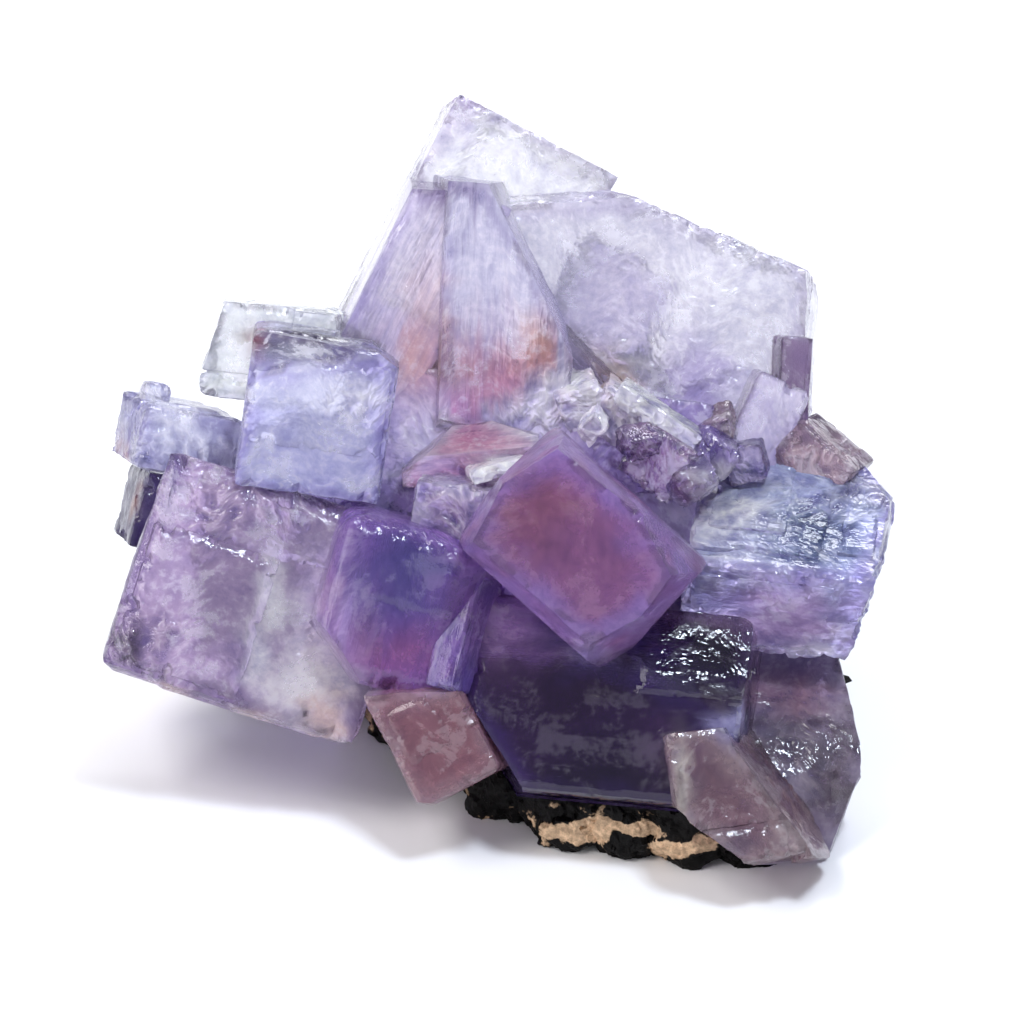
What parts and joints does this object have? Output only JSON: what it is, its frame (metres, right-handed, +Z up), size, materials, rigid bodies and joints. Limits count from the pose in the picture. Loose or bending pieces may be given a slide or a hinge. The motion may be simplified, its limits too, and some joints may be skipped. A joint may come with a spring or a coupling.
{
  "type": "fluorite crystal cluster",
  "caption": "Cluster of intergrown purple and pale lavender cubic fluorite crystals on a flat-bottomed scrap of dark matrix rock, resting on the rock.",
  "frame": {"origin": "middle of the footprint box, on the surface that the cluster rests on", "axes": "+Z up, +X to the right and +Y away from the viewer, seen from the crystal face"},
  "size_m": [0.0798, 0.0744, 0.0607],
  "materials": {
    "fluorite": "glassy cleaved faces with frosted, etched patches",
    "matrix": "rough stone, black with tan lumps"
  },
  "bodies": {
    "root": {"fluorite_crystals": "fluorite", "matrix_rock": "matrix"}
  },
  "joints": []
}
